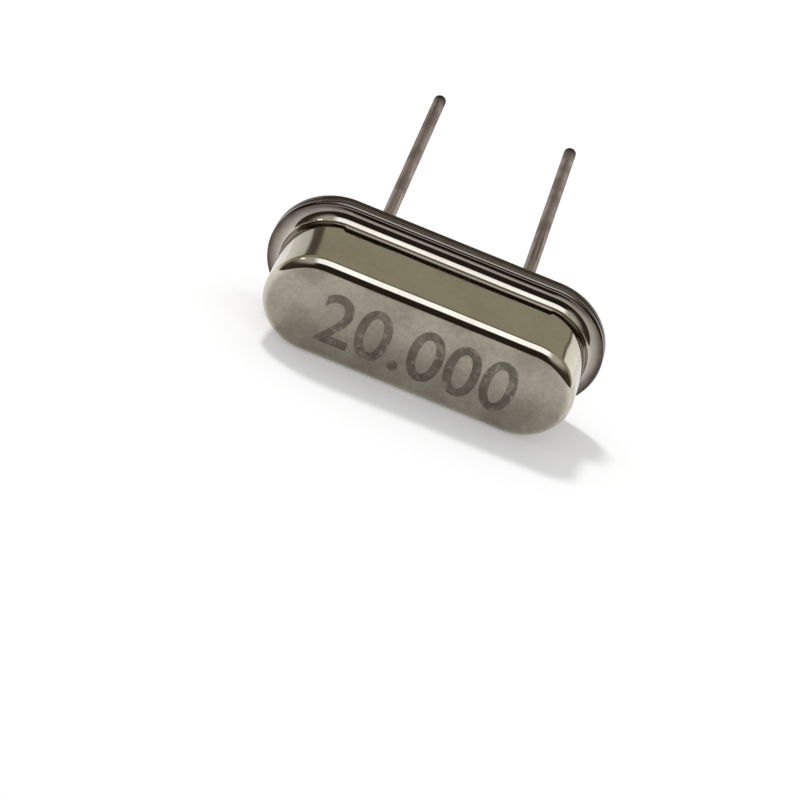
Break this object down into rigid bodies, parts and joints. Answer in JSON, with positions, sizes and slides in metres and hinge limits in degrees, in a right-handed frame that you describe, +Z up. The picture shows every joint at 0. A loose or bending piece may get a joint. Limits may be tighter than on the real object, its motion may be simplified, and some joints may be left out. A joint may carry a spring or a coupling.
{
  "type": "crystal oscillator",
  "caption": "Low-profile quartz crystal unit: a sealed obround metal can welded to a flanged base, with long straight wire leads from glass seals.",
  "frame": {"origin": "on the surface that the unit lies on, under the centre of its bounding box", "axes": "+X along the can and across the leads, +Y along the floor from the can towards the lead tips, +Z up"},
  "size_m": [0.011, 0.0162, 0.0047],
  "materials": {
    "can_nickel": "satin drawn nickel-silver sheet with fine drawing marks",
    "base_nickel": "satin nickel plate on steel",
    "lead_tin": "tinned nickel-iron wire, smooth and slightly dull",
    "seal_glass": "dark grey-green sealing glass",
    "clip_nickel_silver": "bright rolled nickel silver",
    "quartz": "lapped clear quartz",
    "electrode_silver": "evaporated silver film",
    "silver_adhesive": "matt silver-filled epoxy"
  },
  "bodies": {
    "root": {"cover": "can_nickel", "base_plate": "base_nickel", "glass_seal_left": "seal_glass", "glass_seal_right": "seal_glass", "lead_left": "lead_tin", "lead_right": "lead_tin", "clip_left": "clip_nickel_silver", "clip_right": "clip_nickel_silver", "quartz_strip": "quartz", "electrode_top": "electrode_silver", "electrode_bottom": "electrode_silver", "adhesive_left": "silver_adhesive", "adhesive_right": "silver_adhesive"}
  },
  "joints": []
}
